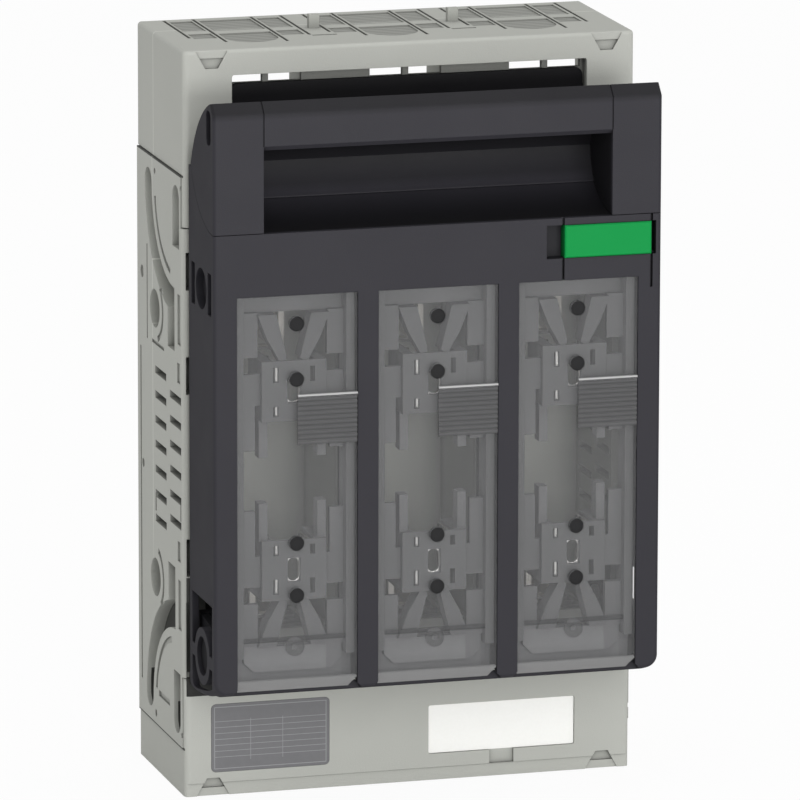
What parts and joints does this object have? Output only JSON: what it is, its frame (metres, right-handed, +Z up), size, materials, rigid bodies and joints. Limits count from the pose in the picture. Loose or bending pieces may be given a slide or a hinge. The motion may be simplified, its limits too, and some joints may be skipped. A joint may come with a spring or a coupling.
{
  "type": "fuse switch disconnector",
  "caption": "Three-pole knife-fuse switch disconnector: grey base with terminal covers, charcoal swing lid with pull handle, sliding smoked test windows and a green slide.",
  "frame": {"origin": "middle of the four fixing holes, in the plane of the mounting face", "axes": "+Z up as mounted, -Y towards the user, +X to the right seen from the front"},
  "size_m": [0.184, 0.1127, 0.3035],
  "materials": {
    "housing_grey": "fine spark texture",
    "lid_charcoal": "satin moulded",
    "smoked_clear": "clear smoked polycarbonate",
    "plug_black": "matt",
    "lock_green": "satin moulded",
    "label_white": "paper-like card",
    "plate_grey": "satin film",
    "carrier_grey": "moulded",
    "bracket_black": "moulded",
    "chute_grey": "moulded",
    "silver_plated_copper": "silver plated",
    "spring_steel": "bright rolled",
    "plain_steel": "plain rolled",
    "zinc_plated_steel": "zinc plated"
  },
  "bodies": {
    "base": {"base_housing": "housing_grey", "top_terminal_cover": "housing_grey", "bottom_terminal_cover": "housing_grey", "marking_label": "label_white", "rating_plate": "plate_grey", "hinge_bracket_left": "bracket_black", "hinge_bracket_right": "bracket_black", "arc_chute_upper_1": "chute_grey", "arc_chute_upper_2": "chute_grey", "arc_chute_upper_3": "chute_grey", "arc_chute_lower_1": "chute_grey", "arc_chute_lower_2": "chute_grey", "arc_chute_lower_3": "chute_grey", "contact_upper_1": "silver_plated_copper", "contact_upper_2": "silver_plated_copper", "contact_upper_3": "silver_plated_copper", "contact_lower_1": "silver_plated_copper", "contact_lower_2": "silver_plated_copper", "contact_lower_3": "silver_plated_copper", "deion_plates_upper_1": "plain_steel", "deion_plates_upper_2": "plain_steel", "deion_plates_upper_3": "plain_steel", "deion_plates_lower_1": "plain_steel", "deion_plates_lower_2": "plain_steel", "deion_plates_lower_3": "plain_steel", "jaw_spring_upper_1": "spring_steel", "jaw_spring_upper_2": "spring_steel", "jaw_spring_upper_3": "spring_steel", "jaw_spring_lower_1": "spring_steel", "jaw_spring_lower_2": "spring_steel", "jaw_spring_lower_3": "spring_steel", "terminal_bolts": "zinc_plated_steel", "terminal_washers": "zinc_plated_steel", "terminal_nuts": "zinc_plated_steel", "bracket_screws": "zinc_plated_steel"},
    "lid": {"lid_frame": "lid_charcoal", "handle": "lid_charcoal", "carrier_screws": "zinc_plated_steel", "fuse_carrier_1": "carrier_grey", "fuse_carrier_2": "carrier_grey", "fuse_carrier_3": "carrier_grey", "grip_springs_1": "spring_steel", "grip_springs_2": "spring_steel", "grip_springs_3": "spring_steel"},
    "window_1": {"test_window_1": "smoked_clear", "test_plugs_1": "plug_black"},
    "window_2": {"test_window_2": "smoked_clear", "test_plugs_2": "plug_black"},
    "window_3": {"test_window_3": "smoked_clear", "test_plugs_3": "plug_black"},
    "lock": {"lock_slide": "lock_green"}
  },
  "joints": [
    {"name": "lid_hinge", "type": "hinge", "parent": "base", "child": "lid", "pos_m": [0, -0.0932, -0.0711], "axis": [1, 0, 0], "range_deg": [0, 90]},
    {"name": "window_slide_1", "type": "slide", "parent": "lid", "child": "window_1", "axis": [0, 0, -1], "range_m": [0, 0.0086]},
    {"name": "window_slide_2", "type": "slide", "parent": "lid", "child": "window_2", "axis": [0, 0, -1], "range_m": [0, 0.0086]},
    {"name": "window_slide_3", "type": "slide", "parent": "lid", "child": "window_3", "axis": [0, 0, -1], "range_m": [0, 0.0086]},
    {"name": "lock_travel", "type": "slide", "parent": "lid", "child": "lock", "axis": [-1, 0, 0], "range_m": [0, 0.0069]}
  ]
}
